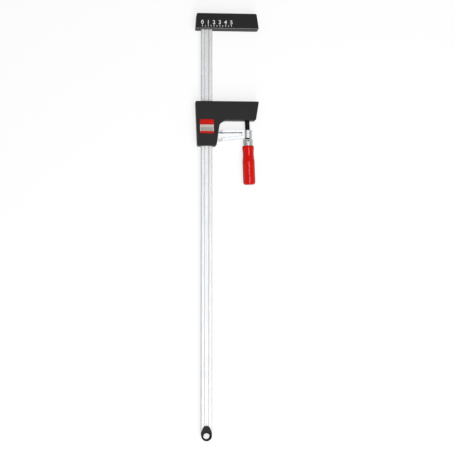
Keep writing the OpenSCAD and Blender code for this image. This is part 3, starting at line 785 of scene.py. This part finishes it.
class CLAMP_OT_handle(bpy.types.Operator):
    """Turn the wooden handle and cut its flutes"""

    bl_idname = "clamp.handle"
    bl_label = "Handle"

    def execute(self, context):
        sizes, colours = context.scene.clamp_sizes, context.scene.clamp_colours
        bm = bmesh.new()
        turned(bm, HANDLE_OUTLINE, steps=sizes.flute_count * STEPS_PER_FLUTE, rounding=HANDLE_ROUNDING)
        subdivided_height(bm, HANDLE_END, SHOULDER, HEIGHT_STEP)
        self.cut_flutes(bm, sizes)
        bmesh.ops.recalc_face_normals(bm, faces=bm.faces)
        bmesh.ops.transform(bm, matrix=spindle_place(), verts=bm.verts)
        lacquer = lacquered_beech("beech, red lacquer", colours.handle)
        add_piece("turned_handle", bm, [lacquer], "screw", ["handle"])
        return {"FINISHED"}

    @staticmethod
    def cut_flutes(bm, sizes):
        """Moves the body's points inwards to where a round-nosed cutter leaves them."""
        pitch = math.tau / sizes.flute_count
        reach = BODY_RADIUS * MM + sizes.flute_radius - sizes.flute_depth
        nose = SHOULDER * MM - sizes.flute_radius
        for vert in bm.verts:
            radius = math.hypot(vert.co.x, vert.co.z)
            if radius < WELD:
                continue
            angle = math.atan2(vert.co.x, vert.co.z)
            off = angle % pitch - pitch / 2
            run_out = max(0, vert.co.y - nose)
            cutter = sizes.flute_radius ** 2 - run_out ** 2 - (reach * math.sin(off)) ** 2
            if cutter <= 0:
                continue
            left = reach * math.cos(off) - math.sqrt(cutter)
            if left < radius:
                vert.co.x *= left / radius
                vert.co.z *= left / radius


class CLAMP_OT_inner(bpy.types.Operator):
    """Dress the pieces inside the jaws: thrust bar, brake spring and roll pins"""

    bl_idname = "clamp.inner"
    bl_label = "Inner pieces"

    def execute(self, context):
        sizes, colours = context.scene.clamp_sizes, context.scene.clamp_colours
        bright = zinc_plated_steel("zinc-plated bar", colours.bright_steel,
                                   grain=2 * MM, relief=0.08, roughness=0.3)
        add_piece("thrust_bar_steel", merged_copy("thrust_bar"), [bright], "slider",
                  ["thrust_bar"], edge=sizes.turned_edge)
        spring = tempered_spring_steel("spring steel strip", colours.spring_steel)
        add_piece("brake_leaf", merged_copy("brake_spring"), [spring], "slider",
                  ["brake_spring"])
        add_piece("roll_pins", merged_copy("jaw_pins"), [spring], "frame", ["jaw_pins"])
        return {"FINISHED"}


class CLAMP_OT_stage(bpy.types.Operator):
    """Set up the camera, the pale floor and the soft light"""

    bl_idname = "clamp.stage"
    bl_label = "Stage"

    def execute(self, context):
        scene, settings = context.scene, context.scene.clamp_stage
        scene.view_settings.view_transform = "Standard"
        self.add_camera(scene, settings)
        self.add_floor(scene, settings)
        self.add_softbox(scene, settings)
        self.light_world(scene, settings)
        return {"FINISHED"}

    @staticmethod
    def add_camera(scene, settings):
        low, high = CAD_BOX
        target = Vector((AIM_X, AIM_Y, (low.z + high.z) / 2))
        back = Vector((-math.sin(settings.yaw) * math.cos(settings.pitch), -math.sin(settings.pitch),
                       math.cos(settings.yaw) * math.cos(settings.pitch)))
        right = Vector((0, 1, 0)).cross(back).normalized()
        camera = bpy.data.objects.new("camera", bpy.data.cameras.new("camera"))
        camera.data.lens = settings.lens
        axes = Matrix((right, back.cross(right), back)).transposed()
        camera.matrix_world = Matrix.Translation(target + back * settings.distance) @ axes.to_4x4()
        scene.collection.objects.link(camera)
        scene.camera = camera

    @staticmethod
    def add_floor(scene, settings):
        finish = bpy.data.materials.new("pale matt floor")
        finish.use_nodes = True
        tree = finish.node_tree
        tree.nodes.clear()
        rays = add_node(tree, "ShaderNodeLightPath")
        seen = add_node(tree, "ShaderNodeMath", {
            0: rays.outputs["Is Camera Ray"], 1: rays.outputs["Is Glossy Ray"]}, operation="MAXIMUM")
        seen = add_node(tree, "ShaderNodeMath", {
            0: seen.outputs[0], 1: rays.outputs["Is Transmission Ray"]}, operation="MAXIMUM")
        lift = add_node(tree, "ShaderNodeMath", {
            0: seen.outputs[0], 1: settings.floor_lift}, operation="MULTIPLY")
        matt = add_node(tree, "ShaderNodeBsdfDiffuse", {"Color": (*settings.floor, 1)})
        glow = add_node(tree, "ShaderNodeEmission", {"Color": (1, 1, 1, 1), "Strength": lift.outputs[0]})
        both = add_node(tree, "ShaderNodeAddShader", {0: matt.outputs[0], 1: glow.outputs[0]})
        # From below the floor is clear, so that it never hides the clamp
        clear = add_node(tree, "ShaderNodeBsdfTransparent")
        side = add_node(tree, "ShaderNodeNewGeometry")
        one_sided = add_node(tree, "ShaderNodeMixShader", {
            0: side.outputs["Backfacing"], 1: both.outputs[0], 2: clear.outputs[0]})
        add_node(tree, "ShaderNodeOutputMaterial", {"Surface": one_sided.outputs[0]})
        bm = bmesh.new()
        bmesh.ops.create_grid(bm, x_segments=1, y_segments=1, size=FLOOR_REACH,
                              matrix=Matrix.Translation((0, 0, -FLOOR_DROP)))
        mesh = bpy.data.meshes.new("floor")
        bm.to_mesh(mesh)
        bm.free()
        mesh.materials.append(finish)
        floor = bpy.data.objects.new("floor", mesh)
        scene.collection.objects.link(floor)

    @staticmethod
    def add_softbox(scene, settings):
        lamp = bpy.data.lights.new("overhead strip softbox", "AREA")
        lamp.shape = "RECTANGLE"
        lamp.size, lamp.size_y = SOFTBOX_WIDTH, SOFTBOX_LENGTH
        lamp.energy = settings.softbox
        softbox = bpy.data.objects.new("overhead strip softbox", lamp)
        softbox.location = (SOFTBOX_X, SOFTBOX_FAR_END - SOFTBOX_LENGTH / 2, SOFTBOX_HEIGHT)
        softbox.visible_camera = False
        scene.collection.objects.link(softbox)

    @staticmethod
    def light_world(scene, settings):
        world = bpy.data.worlds.new("white studio")
        world.use_nodes = True
        tree = world.node_tree
        tree.nodes.clear()
        towards = add_node(tree, "ShaderNodeTexCoord").outputs["Generated"]
        height = add_node(tree, "ShaderNodeSeparateXYZ", {0: towards}).outputs["Z"]
        # Gloss shows the white backdrop low down only, and the camera sees it all round
        backdrop = add_node(tree, "ShaderNodeMapRange", {
            "Value": height, "From Min": BACKDROP_FULL, "From Max": BACKDROP_GONE, "To Min": 1, "To Max": 0,
        }, interpolation_type="SMOOTHSTEP")
        rays = add_node(tree, "ShaderNodeLightPath")
        mirrored = add_node(tree, "ShaderNodeMath", {
            0: rays.outputs["Is Glossy Ray"], 1: rays.outputs["Is Transmission Ray"]}, operation="MAXIMUM")
        mirrored = add_node(tree, "ShaderNodeMath", {
            0: mirrored.outputs[0], 1: backdrop.outputs[0]}, operation="MULTIPLY")
        seen = add_node(tree, "ShaderNodeMath", {
            0: rays.outputs["Is Camera Ray"], 1: mirrored.outputs[0]}, operation="MAXIMUM")
        light = add_node(tree, "ShaderNodeBackground", {
            "Color": (1, 1, 1, 1), "Strength": settings.ceiling})
        white = add_node(tree, "ShaderNodeBackground", {"Color": (1, 1, 1, 1), "Strength": 1.0})
        mix = add_node(tree, "ShaderNodeMixShader", {
            0: seen.outputs[0], 1: light.outputs[0], 2: white.outputs[0]})
        add_node(tree, "ShaderNodeOutputWorld", {"Surface": mix.outputs[0]})
        scene.world = world


class CLAMP_PT_panel(bpy.types.Panel):
    """Lists the clamp's pieces and their settings"""

    bl_idname = "CLAMP_PT_panel"
    bl_label = "Bar clamp"
    bl_space_type = "VIEW_3D"
    bl_region_type = "UI"
    bl_category = "Clamp"

    def draw(self, context):
        layout = self.layout
        for operator in PIECES:
            layout.operator(operator.bl_idname)
        for group in (context.scene.clamp_sizes, context.scene.clamp_colours, context.scene.clamp_stage):
            box = layout.box()
            for name in group.bl_rna.properties.keys():
                if name not in ("rna_type", "name"):
                    box.prop(group, name)


PIECES = (CLAMP_OT_rail, CLAMP_OT_housings, CLAMP_OT_inlay, CLAMP_OT_scale, CLAMP_OT_lever, CLAMP_OT_spindle,
          CLAMP_OT_ferrule, CLAMP_OT_handle, CLAMP_OT_inner, CLAMP_OT_stage)
CLASSES = (ClampSizes, ClampColours, ClampStage, *PIECES, CLAMP_PT_panel)


def register():
    for cls in CLASSES:
        bpy.utils.register_class(cls)
    bpy.types.Scene.clamp_sizes = bpy.props.PointerProperty(type=ClampSizes)
    bpy.types.Scene.clamp_colours = bpy.props.PointerProperty(type=ClampColours)
    bpy.types.Scene.clamp_stage = bpy.props.PointerProperty(type=ClampStage)


def unregister():
    del bpy.types.Scene.clamp_stage, bpy.types.Scene.clamp_colours, bpy.types.Scene.clamp_sizes
    for cls in reversed(CLASSES):
        bpy.utils.unregister_class(cls)


def main():
    register()
    bpy.ops.clamp.stage()
    bpy.ops.clamp.rail()
    bpy.ops.clamp.housings()
    bpy.ops.clamp.inlay()
    bpy.ops.clamp.scale()
    bpy.ops.clamp.lever()
    bpy.ops.clamp.spindle()
    bpy.ops.clamp.ferrule()
    bpy.ops.clamp.handle()
    bpy.ops.clamp.inner()


if __name__ == "__main__":
    main()
